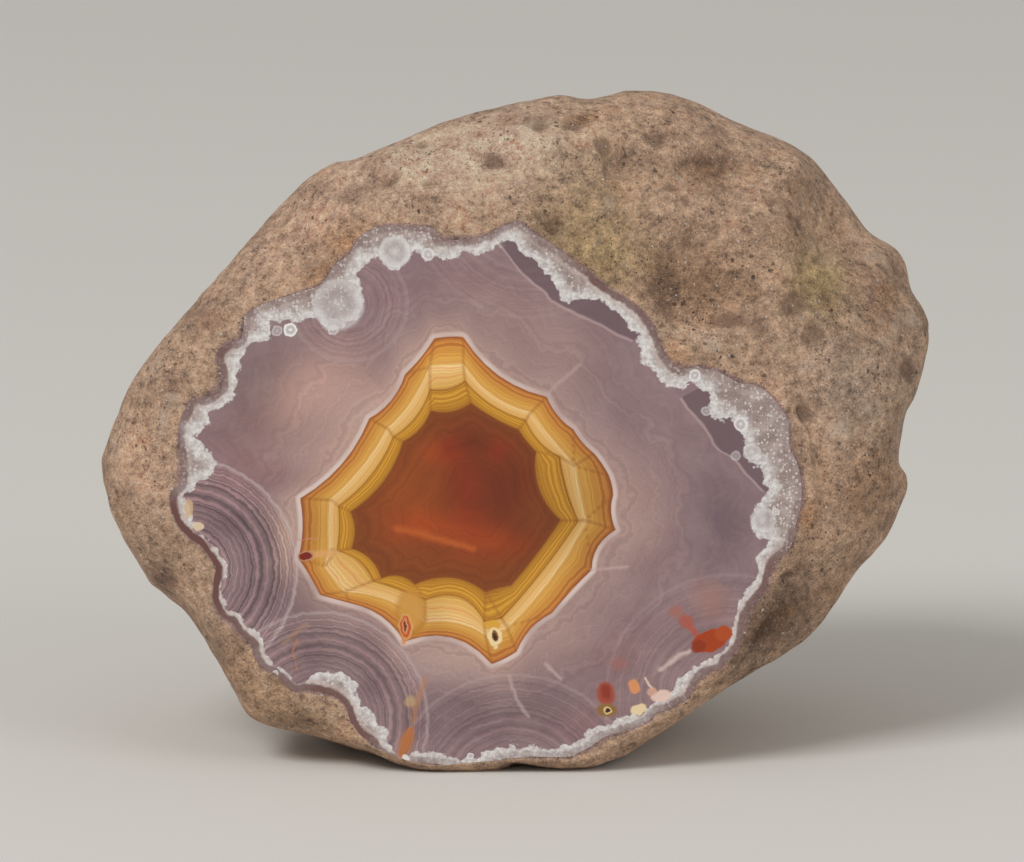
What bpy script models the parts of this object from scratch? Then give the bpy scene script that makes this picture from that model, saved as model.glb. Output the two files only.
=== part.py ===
"""Agate nodule: one natural stone with a rough tan rind and one sawn, polished face.

Metres, +Z up. The nodule rests on a small flat spot, its polished face towards -Y and leaning a
little back. The body is a sphere whose rows are moved: the first row becomes the edge of the
polished face, the next ones the rough slope out to the widest outline, and the rest the rounded back.
"""

import math

import bmesh
import bpy
import numpy as np
from mathutils import Matrix, Vector

MM = 0.001

# Driving sizes, in millimetres
DEPTH = 58.0
EDGE_SLOPE = math.radians(20)
SLOPE_DEPTH = 3.0
SLOPE_DEPTH_PER_WIDTH = 0.85
BACK_CENTRE = (5.0, 3.0)
BACK_FULLNESS = 0.85
BACK_SMOOTHING = math.radians(35)
VIEW_DISTANCE = 1200.0

# The resting pose: how far the face leans back, and where the middle of the face stands
FACE_LEAN = math.radians(10)
FACE_MIDDLE = Vector((-4.4, -26.7, 32.4))

# The edge of the flat polished face, clockwise from the left: (across, up) in mm from its middle
FACE_EDGE = [
    (-37.0, 6.0), (-36.2, 10.2), (-33.0, 15.0), (-31.8, 18.6), (-28.8, 22.2), (-25.0, 24.2),
    (-19.8, 26.6), (-16.2, 30.6), (-12.0, 33.6), (-6.0, 33.4), (0.0, 32.6), (4.8, 34.1),
    (8.4, 31.7), (14.4, 27.4), (20.4, 22.6), (23.4, 17.8), (27.0, 17.2), (31.8, 15.6),
    (36.6, 12.0), (38.8, 6.6), (39.8, 1.2), (39.0, -3.6), (36.6, -7.8), (34.6, -12.0),
    (32.6, -15.6), (31.0, -18.6), (27.0, -22.2), (23.4, -25.4), (19.2, -27.6), (13.2, -31.0),
    (7.8, -31.4), (2.4, -31.4), (-6.0, -32.0), (-9.8, -31.4), (-13.2, -29.8), (-15.4, -27.0),
    (-17.4, -24.4), (-21.6, -23.8), (-25.2, -21.6), (-28.2, -18.0), (-32.2, -14.4),
    (-32.6, -11.4), (-32.2, -8.6), (-33.6, -6.4), (-36.2, -4.4), (-37.4, -1.4), (-38.0, 1.2),
]

# The widest outline, seen square on to the face, clockwise from the left
OUTLINE = [
    (-45.4, 3.2), (-44.8, 6.8), (-41.8, 14.2), (-37.3, 20.0), (-30.4, 27.7), (-28.2, 30.7),
    (-22.3, 37.3), (-18.0, 40.3), (-15.0, 40.9), (-7.6, 43.9), (-2.0, 46.1), (5.3, 47.9),
    (9.4, 48.5), (13.2, 48.2), (18.4, 49.1), (22.1, 48.7), (25.7, 47.6), (31.2, 44.8),
    (35.3, 43.3), (39.2, 41.2), (42.6, 37.3), (46.7, 31.9), (50.3, 29.5), (51.8, 25.2),
    (53.8, 21.1), (53.4, 16.7), (52.2, 12.4), (50.9, 9.9), (50.3, 4.8), (51.2, 2.7),
    (51.0, 0.2), (48.8, -4.6), (44.8, -9.2), (40.8, -15.1), (36.7, -18.5), (29.4, -22.9),
    (22.1, -27.7), (16.2, -31.0), (11.0, -32.3), (4.8, -31.8), (2.5, -32.8), (-4.0, -32.7),
    (-9.1, -31.8), (-13.1, -30.2), (-18.6, -28.6), (-26.8, -26.4), (-29.3, -22.9),
    (-31.8, -17.4), (-34.4, -13.0), (-39.2, -9.7), (-41.8, -6.0), (-44.3, -1.2),
]

# Hollows (depth over zero) and lumps (depth under zero) on the visible slope, in mm:
# across, up, half length, half width, turn in degrees, depth
FEATURES = [
    (26.4, 25.6, 6.4, 4.9, -20, 2.8),
    (27.8, 39.6, 4.6, 2.4, 0, 2.0),
    (17.3, 40.9, 2.4, 2.0, 0, 1.8),
    (37.0, -15.8, 4.6, 3.4, 40, 1.6),
    (34.5, 29.0, 8.0, 3.6, 85, -1.2),
    (44.0, 31.0, 8.5, 3.2, -60, 1.2),
    (38.0, 38.5, 3.0, 2.0, -50, -1.2),
    (-14.0, 38.0, 4.5, 1.8, 10, 0.9),
    (-10.5, 40.5, 4.0, 2.0, 20, -0.7),
    (8.0, 43.0, 6.0, 2.4, 5, -0.8),
    (47.0, 8.0, 5.0, 3.4, 60, -0.9),
    (-37.8, -9.8, 2.4, 1.6, -35, 0.9),
]

FEATURE_STEEPNESS = 1.8

# Lumps all over the rind: size and usual height in mm. Each size is many smooth waves added up,
# which run in random directions
LUMPS = [(17.0, 0.40), (8.0, 0.19), (4.0, 0.07)]
WAVES = 24
LUMP_SEED = 6
LUMP_MIDDLE = (3.0, 5.0, -24.0)
EDGE_FADE = 3.0
OUTLINE_FADE = 5.0
OUTLINE_SHARE = 0.2

# The grid of the sphere
AROUND = 116
SLOPE_ROWS = 14
BACK_ROWS = 22


def smooth_radius(points, angles, steps=12):
    """Distance from the middle at each angle, along a smooth closed curve through the points."""
    ring = np.array(points)
    before, here = np.roll(ring, 1, axis=0), ring
    after, later = np.roll(ring, -1, axis=0), np.roll(ring, -2, axis=0)
    curve = []
    for t in np.arange(steps) / steps:
        curve.append(0.5 * (2 * here + (after - before) * t
                            + (2 * before - 5 * here + 4 * after - later) * t ** 2
                            + (3 * here - before - 3 * after + later) * t ** 3))
    curve = np.stack(curve, axis=1).reshape(-1, 2)
    at = np.arctan2(curve[:, 1], curve[:, 0]) % (2 * np.pi)
    order = np.argsort(at)
    return np.interp(angles % (2 * np.pi), at[order], np.hypot(*curve[order].T), period=2 * np.pi)


def plain_point(angle, along):
    """Points of the body without its lumps, in mm from the middle of the face: across, up and out.

    along runs from 0 at the edge of the face over 1 at the widest outline to 2 at the middle of the
    back. The slope and the back are quarters of ellipses that meet at the outline.
    """
    edge, wide = smooth_radius(FACE_EDGE, angle), smooth_radius(OUTLINE, angle)
    edge = np.minimum(edge, wide - 0.5)
    drop = SLOPE_DEPTH + SLOPE_DEPTH_PER_WIDTH * (wide - edge)
    turn = EDGE_SLOPE + (np.pi / 2 - EDGE_SLOPE) * np.minimum(along, 1)
    out = (np.sin(turn) - np.sin(EDGE_SLOPE)) / (1 - np.sin(EDGE_SLOPE))
    down = 1 - np.cos(turn) / np.cos(EDGE_SLOPE)
    round_back = np.pi / 2 * np.maximum(along - 1, 0)
    nearby = angle + np.linspace(-BACK_SMOOTHING, BACK_SMOOTHING, 9).reshape(-1, *[1] * angle.ndim)
    even = smooth_radius(OUTLINE, nearby).mean(axis=0)
    wide = wide + (even - wide) * np.sin(np.minimum(2 * round_back, np.pi / 2))
    wide = wide * (1 + drop / VIEW_DISTANCE)
    radius = (edge + (wide - edge) * out) * np.cos(round_back) ** BACK_FULLNESS
    height = -drop * down - (DEPTH - drop) * np.sin(round_back)
    shift = np.sin(round_back) ** 2
    return np.stack([radius * np.cos(angle) + BACK_CENTRE[0] * shift,
                     radius * np.sin(angle) + BACK_CENTRE[1] * shift, height], axis=-1)


def lump_height(point):
    """Height of the natural lumps at points, in mm."""
    draws = np.random.default_rng(LUMP_SEED)
    total = 0
    for size, high in LUMPS:
        waves = draws.normal(scale=1.8 / size, size=(WAVES, 3))
        phases = draws.uniform(0, 2 * np.pi, WAVES)
        total = total + high * np.sin(point @ waves.T + phases).sum(axis=-1) / (WAVES / 2) ** 0.5
    return total


def features_depth(point):
    """Depth of the single hollows and lumps at points on the visible slope, in mm."""
    total = 0
    for across, up, long, wide, turn, depth in FEATURES:
        cos, sin = math.cos(math.radians(turn)), math.sin(math.radians(turn))
        x, y = point[..., 0] - across, point[..., 1] - up
        away = ((x * cos + y * sin) / long) ** 2 + ((y * cos - x * sin) / wide) ** 2
        total = total + depth * np.exp(-away ** FEATURE_STEEPNESS)
    return total


def rind_point(angle, along):
    """Points of the rind with lumps and hollows, in mm from the middle of the face."""
    point = plain_point(angle, along)
    outward = point - np.array(LUMP_MIDDLE)
    outward /= np.linalg.norm(outward, axis=-1, keepdims=True)
    widest = plain_point(angle, np.ones_like(along))[..., 2]
    near_outline = np.exp(-((point[..., 2] - widest) / OUTLINE_FADE) ** 2)
    edge_distance = np.linalg.norm(point - plain_point(angle, np.zeros_like(along)), axis=-1)
    fade = np.minimum(edge_distance / EDGE_FADE, 1)
    fade = fade * fade * (3 - 2 * fade)
    hollows = np.where(along < 1, features_depth(point), 0)
    high = fade * (lump_height(point) - hollows) * (1 - (1 - OUTLINE_SHARE) * near_outline)
    return point + outward * high[..., None]


def resting_pose():
    """Matrix from face coordinates in mm to the resting pose in metres."""
    lean = Matrix.Rotation(math.pi / 2 - FACE_LEAN, 4, "X")
    return Matrix.Scale(MM, 4) @ Matrix.Translation(FACE_MIDDLE) @ lean


def nodule_mesh():
    """The sphere moved into shape, and cut flat where the nodule rests."""
    bm = bmesh.new()
    bmesh.ops.create_uvsphere(bm, u_segments=AROUND, v_segments=1 + SLOPE_ROWS + BACK_ROWS, radius=1)
    ball = np.array([v.co for v in bm.verts])
    angle = np.arctan2(ball[:, 1], ball[:, 0])
    row = np.arccos(np.clip(ball[:, 2], -1, 1)) / math.pi * (1 + SLOPE_ROWS + BACK_ROWS)
    along = np.where(row < 1 + SLOPE_ROWS, (row - 1) / SLOPE_ROWS,
                     1 + (row - 1 - SLOPE_ROWS) / BACK_ROWS)
    shaped = rind_point(angle, np.maximum(along, 0))
    shaped[row < 0.5] = 0
    for vert, co in zip(bm.verts, shaped):
        vert.co = co
    bm.transform(resting_pose())
    cut = bmesh.ops.bisect_plane(bm, geom=bm.verts[:] + bm.edges[:] + bm.faces[:], dist=1e-6,
                                 plane_co=(0, 0, 0), plane_no=(0, 0, -1), clear_outer=True)
    rim = [item for item in cut["geom_cut"] if isinstance(item, bmesh.types.BMEdge)]
    bmesh.ops.holes_fill(bm, edges=rim, sides=0)
    bmesh.ops.recalc_face_normals(bm, faces=bm.faces[:])
    mesh = bpy.data.meshes.new("agate_nodule")
    bm.to_mesh(mesh)
    bm.free()
    return mesh


def stone_material():
    """Rough tan rind."""
    material = bpy.data.materials.new("stone")
    material.use_nodes = True
    shader = material.node_tree.nodes["Principled BSDF"]
    shader.inputs["Base Color"].default_value = (0.42, 0.31, 0.24, 1)
    shader.inputs["Roughness"].default_value = 0.85
    shader.inputs["Metallic"].default_value = 0
    return material


def chalcedony_material():
    """Polished banded stone."""
    material = bpy.data.materials.new("polished_chalcedony")
    material.use_nodes = True
    shader = material.node_tree.nodes["Principled BSDF"]
    shader.inputs["Base Color"].default_value = (0.33, 0.22, 0.21, 1)
    shader.inputs["Roughness"].default_value = 0.15
    shader.inputs["Metallic"].default_value = 0
    return material


def build():
    for old in list(bpy.data.objects):
        bpy.data.objects.remove(old, do_unlink=True)
    collection = bpy.data.collections.new("agate nodule")
    bpy.context.scene.collection.children.link(collection)
    mesh = nodule_mesh()
    mesh.materials.append(stone_material())
    mesh.materials.append(chalcedony_material())
    mesh.set_sharp_from_angle(angle=math.radians(40))
    face_normal = Vector((0, -math.cos(FACE_LEAN), math.sin(FACE_LEAN)))
    for polygon in mesh.polygons:
        polished = polygon.normal.dot(face_normal) > 0.9999
        polygon.material_index = int(polished)
        polygon.use_smooth = not polished
    collection.objects.link(bpy.data.objects.new("agate_nodule", mesh))


build()
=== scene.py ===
"""Agate nodule: one natural stone with a rough tan rind and one sawn, polished face."""
import math

import bpy
import numpy as np
from mathutils import Matrix, Vector


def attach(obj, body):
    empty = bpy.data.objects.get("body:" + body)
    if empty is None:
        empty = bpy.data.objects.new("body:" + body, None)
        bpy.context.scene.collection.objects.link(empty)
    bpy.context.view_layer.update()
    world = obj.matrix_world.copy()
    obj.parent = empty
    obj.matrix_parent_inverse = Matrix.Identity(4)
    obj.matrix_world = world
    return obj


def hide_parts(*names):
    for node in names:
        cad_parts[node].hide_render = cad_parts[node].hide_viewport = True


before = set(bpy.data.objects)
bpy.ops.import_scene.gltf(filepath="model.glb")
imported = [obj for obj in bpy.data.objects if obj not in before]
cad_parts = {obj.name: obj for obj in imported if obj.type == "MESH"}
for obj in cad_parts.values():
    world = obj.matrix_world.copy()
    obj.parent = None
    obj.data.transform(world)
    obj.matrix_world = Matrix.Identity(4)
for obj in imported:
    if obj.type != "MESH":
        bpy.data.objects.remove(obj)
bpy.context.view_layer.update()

# The body of the nodule: one piece of stone that filled a gas hole in lava, so its rind is a cast of the
# rough hole. It was sawn through once, and the cut was ground flat and polished. The surface is a ball
# whose rows are moved: from the middle of the face out to its edge, down the slope, and round the back.
MM = 0.001
DEPTH = 58.0
EDGE_SLOPE = math.radians(20)
SLOPE_DEPTH = 3.0
SLOPE_DEPTH_PER_WIDTH = 0.85
BACK_CENTRE = (5.0, 3.0)
BACK_FULLNESS = 0.85
BACK_SMOOTHING = math.radians(35)
VIEW_DISTANCE = 1200.0
FACE_LEAN = math.radians(10)
FACE_MIDDLE = Vector((-4.4, -26.7, 32.4))
# The edge of the flat polished face, clockwise from the left: (across, up) in mm from its middle
FACE_EDGE = [
    (-37.0, 6.0), (-36.2, 10.2), (-33.0, 15.0), (-31.8, 18.6), (-28.8, 22.2), (-25.0, 24.2),
    (-19.8, 26.6), (-16.2, 30.6), (-12.0, 33.6), (-6.0, 33.4), (0.0, 32.6), (4.8, 34.1),
    (8.4, 31.7), (14.4, 27.4), (20.4, 22.6), (23.4, 17.8), (27.0, 17.2), (31.8, 15.6),
    (36.6, 12.0), (38.8, 6.6), (39.8, 1.2), (39.0, -3.6), (36.6, -7.8), (34.6, -12.0),
    (32.6, -15.6), (31.0, -18.6), (27.0, -22.2), (23.4, -25.4), (19.2, -27.6), (13.2, -31.0),
    (7.8, -31.4), (2.4, -31.4), (-6.0, -32.0), (-9.8, -31.4), (-13.2, -29.8), (-15.4, -27.0),
    (-17.4, -24.4), (-21.6, -23.8), (-25.2, -21.6), (-28.2, -18.0), (-32.2, -14.4),
    (-32.6, -11.4), (-32.2, -8.6), (-33.6, -6.4), (-36.2, -4.4), (-37.4, -1.4), (-38.0, 1.2),
]

# The widest outline, seen square on to the face, clockwise from the left
OUTLINE = [
    (-45.4, 3.2), (-44.8, 6.8), (-41.8, 14.2), (-37.3, 20.0), (-30.4, 27.7), (-28.2, 30.7),
    (-22.3, 37.3), (-18.0, 40.3), (-15.0, 40.9), (-7.6, 43.9), (-2.0, 46.1), (5.3, 47.9),
    (9.4, 48.5), (13.2, 48.2), (18.4, 49.1), (22.1, 48.7), (25.7, 47.6), (31.2, 44.8),
    (35.3, 43.3), (39.2, 41.2), (42.6, 37.3), (46.7, 31.9), (50.3, 29.5), (51.8, 25.2),
    (53.8, 21.1), (53.4, 16.7), (52.2, 12.4), (50.9, 9.9), (50.3, 4.8), (51.2, 2.7),
    (51.0, 0.2), (48.8, -4.6), (44.8, -9.2), (40.8, -15.1), (36.7, -18.5), (29.4, -22.9),
    (22.1, -27.7), (16.2, -31.0), (11.0, -32.3), (4.8, -31.8), (2.5, -32.8), (-4.0, -32.7),
    (-9.1, -31.8), (-13.1, -30.2), (-18.6, -28.6), (-26.8, -26.4), (-29.3, -22.9),
    (-31.8, -17.4), (-34.4, -13.0), (-39.2, -9.7), (-41.8, -6.0), (-44.3, -1.2),
]

# Hollows (depth over zero) and lumps (depth under zero) on the visible slope, in mm:
# across, up, half length, half width, turn in degrees, depth
FEATURES = [
    (26.4, 25.6, 6.4, 4.9, -20, 2.8),
    (27.8, 39.6, 4.6, 2.4, 0, 2.0),
    (17.3, 40.9, 2.4, 2.0, 0, 1.8),
    (37.0, -15.8, 4.6, 3.4, 40, 1.6),
    (34.5, 29.0, 8.0, 3.6, 85, -1.2),
    (44.0, 31.0, 8.5, 3.2, -60, 1.2),
    (38.0, 38.5, 3.0, 2.0, -50, -1.2),
    (-14.0, 38.0, 4.5, 1.8, 10, 0.9),
    (-10.5, 40.5, 4.0, 2.0, 20, -0.7),
    (8.0, 43.0, 6.0, 2.4, 5, -0.8),
    (47.0, 8.0, 5.0, 3.4, 60, -0.9),
    (-37.8, -9.8, 2.4, 1.6, -35, 0.9),
]

FEATURE_STEEPNESS = 1.8

# Lumps all over the rind: size and usual height in mm. Each size is many smooth waves added up,
# which run in random directions
LUMPS = [(17.0, 0.40), (8.0, 0.19), (4.0, 0.07)]
WAVES = 24
LUMP_SEED = 6
LUMP_MIDDLE = (3.0, 5.0, -24.0)
EDGE_FADE = 3.0
OUTLINE_FADE = 5.0
OUTLINE_SHARE = 0.2

# Finer lumps that only this surface has: size and usual height in mm
CRUST = [(2.6, 0.075), (1.5, 0.045)]
CRUST_SEED = 21
CRUST_FADE = 1.2

# Round pits scattered over the rind: how many, half width and depth in mm, and how far one pit reaches
PITS = 320
PIT_HALF_WIDTH = (0.8, 1.7)
PIT_DEPTH = (0.15, 0.5)
PIT_SEED = 5

# Small hollows and lumps that the photo shows one by one, as in the list above
SMALL_FEATURES = [
    (8.4, 32.6, 1.3, 0.8, 40, 0.8),
    (1.2, 41.0, 1.6, 1.1, 0, 0.4),
    (-10.4, 38.8, 1.6, 0.5, 20, 0.5),
    (-6.0, 38.2, 1.3, 0.5, 0, 0.4),
    (33.2, 16.7, 0.5, 0.5, 0, 0.4),
    (34.3, 16.7, 0.5, 0.5, 0, 0.4),
    (32.0, 34.6, 0.6, 0.5, 0, 0.4),
    (11.6, 45.2, 2.2, 0.8, 20, 0.4),
    (36.4, -9.2, 1.6, 0.5, 0, 0.7),
    (35.0, -16.4, 3.4, 0.8, 40, 0.8),
    (3.6, -32.2, 1.4, 0.8, 0, 0.5),
]

# The grid: columns round the ball, and rows over the slope and the back
AROUND = 640
SLOPE_ROWS = 46
BACK_ROWS = 52

# Closed outlines on the face, in mm from its middle, clockwise from the left: where the rind begins,
# and the inner edge of the white crystal rim
RIND_EDGE = [
    (-36.2, 7.8), (-36.0, 9.0), (-35.6, 10.2), (-35.2, 11.0), (-34.8, 12.0), (-34.2, 12.4), (-33.0, 12.2),
    (-31.6, 13.0), (-31.1, 13.4), (-31.0, 14.6), (-31.1, 15.8), (-31.6, 16.8), (-31.3, 18.0),
    (-30.7, 18.6), (-29.8, 19.0), (-28.8, 19.2), (-28.4, 20.4), (-28.2, 22.1), (-27.0, 23.0),
    (-25.8, 23.6), (-23.4, 24.4), (-21.6, 25.0), (-19.0, 25.9), (-17.5, 28.1), (-15.7, 29.5),
    (-14.8, 31.1), (-13.4, 32.2), (-11.3, 32.9), (-8.4, 32.9), (-5.6, 32.6), (-4.7, 31.2), (-3.0, 31.2),
    (-0.6, 31.4), (1.2, 32.0), (3.0, 33.0), (4.8, 33.4), (6.0, 32.4), (7.8, 31.2), (9.6, 30.0),
    (11.4, 28.6), (13.2, 27.4), (14.8, 25.8), (16.8, 24.6), (18.6, 23.4), (20.2, 21.8), (21.0, 20.4),
    (21.6, 18.6), (22.6, 16.8), (24.0, 15.7), (25.2, 15.8), (26.0, 16.1), (27.0, 15.7), (28.2, 15.6),
    (30.0, 14.6), (31.2, 14.0), (33.0, 13.8), (34.8, 12.6), (36.2, 10.8), (37.0, 9.6), (37.1, 7.8),
    (37.2, 6.0), (37.9, 4.8), (38.4, 3.0), (38.6, 1.2), (38.5, -0.6), (38.0, -2.4), (37.8, -3.8),
    (37.6, -4.8), (37.0, -6.0), (36.2, -6.8), (35.4, -7.6), (34.9, -8.4), (34.6, -9.6), (34.2, -10.8),
    (33.2, -11.8), (32.4, -13.0), (31.8, -14.4), (31.4, -16.8), (30.8, -18.0), (29.6, -19.2),
    (29.0, -20.2), (27.8, -20.6), (26.4, -21.4), (25.6, -22.8), (25.0, -23.8), (24.0, -24.4),
    (23.0, -25.0), (21.0, -25.6), (20.2, -26.6), (19.2, -27.1), (17.4, -27.8), (15.6, -28.2),
    (14.4, -28.8), (13.2, -29.6), (12.0, -30.2), (10.8, -30.8), (8.4, -30.8), (6.0, -30.8), (3.8, -31.0),
    (3.0, -31.0), (2.4, -31.4), (1.8, -32.3), (0.0, -32.4), (-2.4, -32.2), (-4.8, -31.7), (-6.6, -31.6),
    (-9.0, -31.4), (-10.8, -31.1), (-11.6, -30.6), (-12.6, -29.8), (-13.2, -29.0), (-14.6, -28.0),
    (-15.2, -27.2), (-15.6, -26.4), (-16.0, -25.0), (-16.8, -24.0), (-18.0, -23.4), (-20.4, -22.8),
    (-22.2, -22.9), (-23.0, -22.4), (-23.8, -21.6), (-24.6, -20.8), (-25.7, -20.4), (-26.5, -19.8),
    (-27.1, -18.6), (-27.4, -17.4), (-28.1, -16.8), (-29.0, -15.8), (-29.8, -14.6), (-30.7, -14.2),
    (-31.4, -13.4), (-32.0, -12.0), (-32.0, -10.6), (-31.9, -9.4), (-31.7, -8.2), (-32.2, -7.2),
    (-32.9, -6.2), (-33.6, -5.4), (-34.8, -4.6), (-35.8, -3.6), (-36.5, -2.6), (-36.7, -1.9),
    (-37.1, -1.0), (-37.2, 0.0), (-37.0, 1.2), (-36.0, 1.8), (-35.8, 3.0), (-35.8, 4.2), (-35.9, 5.4),
    (-36.1, 6.6),
]
RIM_EDGE = [
    (-34.4, 8.0), (-33.2, 8.6), (-32.6, 9.1), (-32.4, 10.7), (-31.4, 10.9), (-30.6, 11.3), (-30.0, 12.0),
    (-29.6, 12.6), (-29.4, 13.4), (-29.0, 14.6), (-28.9, 15.6), (-28.8, 16.8), (-28.4, 17.4),
    (-27.8, 18.2), (-27.0, 18.8), (-26.2, 19.1), (-25.4, 19.4), (-25.1, 20.0), (-25.2, 21.4),
    (-23.4, 21.4), (-21.4, 21.4), (-20.2, 21.8), (-19.4, 21.4), (-18.6, 20.4), (-17.6, 19.9),
    (-17.0, 20.2), (-16.4, 21.1), (-15.6, 21.4), (-14.6, 21.8), (-14.2, 22.8), (-13.9, 24.4),
    (-14.0, 25.2), (-14.6, 26.6), (-13.8, 28.1), (-13.0, 29.0), (-12.0, 28.6), (-11.0, 28.0),
    (-10.1, 27.8), (-9.0, 28.2), (-8.2, 29.3), (-7.7, 30.0), (-7.1, 29.4), (-6.2, 28.8), (-5.5, 29.0),
    (-4.2, 28.9), (-2.6, 28.9), (-1.8, 29.4), (-0.6, 29.3), (0.6, 29.8), (1.4, 30.1), (2.4, 30.5),
    (3.4, 31.1), (4.2, 30.8), (4.7, 29.8), (5.4, 29.0), (6.6, 28.3), (7.8, 27.4), (8.6, 26.3), (9.6, 24.2),
    (11.4, 23.9), (14.4, 23.9), (15.4, 23.3), (16.8, 22.4), (17.5, 21.4), (18.0, 20.4), (18.8, 20.0),
    (19.2, 18.6), (19.2, 17.0), (19.8, 16.0), (21.0, 15.2), (21.6, 14.2), (22.6, 13.6), (24.0, 13.3),
    (25.2, 13.9), (26.4, 13.2), (27.4, 12.4), (27.6, 10.8), (28.6, 9.8), (29.5, 9.5), (30.4, 9.6),
    (31.3, 8.2), (31.8, 7.2), (31.4, 6.0), (32.2, 5.3), (32.6, 4.4), (33.4, 4.1), (33.8, 3.0), (34.2, 1.8),
    (34.6, 1.2), (33.8, 0.8), (33.2, 0.0), (33.0, -1.4), (32.5, -2.6), (32.8, -3.6), (33.6, -4.4),
    (34.6, -4.8), (33.8, -5.8), (33.2, -6.6), (33.1, -7.8), (33.2, -9.0), (32.2, -10.4), (31.2, -12.0),
    (30.6, -13.4), (30.2, -14.6), (29.8, -16.8), (28.8, -18.2), (27.0, -19.4), (25.2, -20.4),
    (24.0, -21.4), (23.0, -22.8), (20.4, -24.4), (19.2, -25.9), (16.8, -25.7), (15.6, -26.6),
    (14.4, -27.0), (13.4, -27.4), (12.4, -28.4), (11.4, -29.0), (9.0, -29.8), (8.2, -29.4), (7.2, -29.6),
    (6.0, -29.4), (4.8, -29.8), (3.8, -29.2), (2.8, -29.5), (0.6, -30.0), (0.0, -30.8), (-1.2, -30.5),
    (-2.4, -31.2), (-4.2, -30.7), (-6.0, -30.2), (-9.4, -30.4), (-10.6, -29.4), (-11.0, -29.0),
    (-10.8, -28.2), (-11.0, -27.4), (-12.2, -26.6), (-13.0, -25.4), (-14.2, -24.6), (-14.8, -22.8),
    (-15.2, -21.6), (-16.2, -21.0), (-17.6, -20.6), (-19.2, -20.5), (-20.4, -21.2), (-21.6, -22.1),
    (-22.6, -21.8), (-23.0, -20.9), (-23.6, -20.0), (-24.6, -19.7), (-25.8, -18.2), (-26.2, -16.8),
    (-26.4, -15.8), (-27.6, -15.0), (-28.3, -14.2), (-29.3, -13.3), (-30.0, -13.3), (-30.6, -12.5),
    (-31.0, -11.4), (-30.7, -10.2), (-30.5, -9.0), (-30.4, -7.8), (-30.7, -7.0), (-31.4, -6.1),
    (-32.4, -5.3), (-33.4, -4.4), (-34.1, -3.7), (-34.4, -2.4), (-34.8, -1.4), (-34.8, 0.0), (-35.5, 0.4),
    (-34.2, 1.4), (-33.6, 2.4), (-33.0, 1.9), (-32.4, 2.4), (-32.2, 3.2), (-31.7, 4.0), (-31.8, 4.8),
    (-32.2, 5.6), (-32.9, 6.0), (-33.6, 7.0),
]

# Growth fronts on the face are scalloped: where each arc starts, and how far it bulges to the middle
AMBER_EDGE = [
    (-5.5, 19.4, -0.1), (-2.0, 19.6, 1.3), (8.0, 12.4, 0.4), (11.2, 8.5, 0.2), (13.7, 5.6, -0.1),
    (15.5, 2.9, -0.1), (16.0, 0.6, 0.4), (16.3, -3.6, 0.8), (13.4, -8.4, 0.1), (8.6, -13.6, 0.6),
    (4.4, -18.2, -0.1), (1.4, -19.7, 1.9), (-9.1, -17.0, 0.9), (-15.6, -12.4, 0.0), (-19.2, -11.4, 0.1),
    (-21.8, -7.0, 0.4), (-21.6, 0.2, 1.1), (-13.3, 9.8, 0.7), (-9.0, 15.1, 0.2),
]
CREAM_OUTER = [
    (-6.0, 16.0, 0.0), (-2.0, 16.1, 1.0), (6.0, 10.4, 0.1), (11.3, 4.1, 0.2), (12.6, -2.4, -0.7),
    (3.2, -15.2, 0.0), (0.6, -16.0, 0.7), (-6.6, -14.6, 1.0), (-16.2, -11.0, 0.0), (-18.6, -7.9, 0.0),
    (-17.9, -5.9, -0.1), (-17.8, 0.0, 0.5), (-11.0, 8.5, 0.6),
]
CREAM_INNER = [
    (-6.0, 13.3, 0.5), (-1.8, 14.3, 0.7), (5.5, 9.6, 0.6), (9.6, 5.2, 0.3), (11.8, -2.5, -0.3),
    (2.6, -14.2, 0.0), (0.5, -14.6, 1.8), (-6.6, -12.0, 0.1), (-12.8, -9.7, 0.8), (-17.2, -6.1, 0.2),
    (-17.0, -0.7, 0.8), (-10.4, 7.6, 0.7),
]
CORE_EDGE = [
    (-5.9, 10.7, 0.6), (-1.1, 11.6, 0.2), (4.6, 8.4, 0.1), (6.7, 5.8, 1.2), (9.6, -2.4, -0.2),
    (3.7, -10.2, 0.1), (0.7, -11.0, 1.3), (-7.8, -10.1, 0.7), (-11.8, -9.4, 0.7), (-15.4, -5.8, 0.5),
    (-15.5, -1.4, 1.0), (-9.2, 7.0, 0.5),
]

# Rows of the face, as places between the fronts: 0 the middle, 1 the edge of the red core, 2 and 3 the
# cream band, 4 the edge of the amber, 5 the crystal rim, 6 the start of the rind, 7 the edge of the face
FACE_ROWS = np.concatenate([
    np.linspace(0, 1, 9)[1:], np.linspace(1, 2, 5)[1:], np.linspace(2, 3, 5)[1:], np.linspace(3, 4, 6)[1:],
    np.linspace(4, 5, 18)[1:], np.linspace(5, 6, 8)[1:], np.linspace(6, 7, 3)[1:],
])
RIM_ROW = np.flatnonzero(np.isclose(FACE_ROWS, 6))[0]


def curve_through(points, steps=12):
    """Closed curve through points: Catmull-Rom, a cubic whose slope at each point is its neighbours'."""
    here = np.array(points)
    before, after, later = (np.roll(here, turn, axis=0) for turn in (1, -1, -2))
    t = (np.arange(steps) / steps)[:, None, None]
    curve = 0.5 * (2 * here + (after - before) * t + (2 * before - 5 * here + 4 * after - later) * t ** 2
                   + (3 * here - before - 3 * after + later) * t ** 3)
    return curve.transpose(1, 0, 2).reshape(-1, 2)


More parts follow.
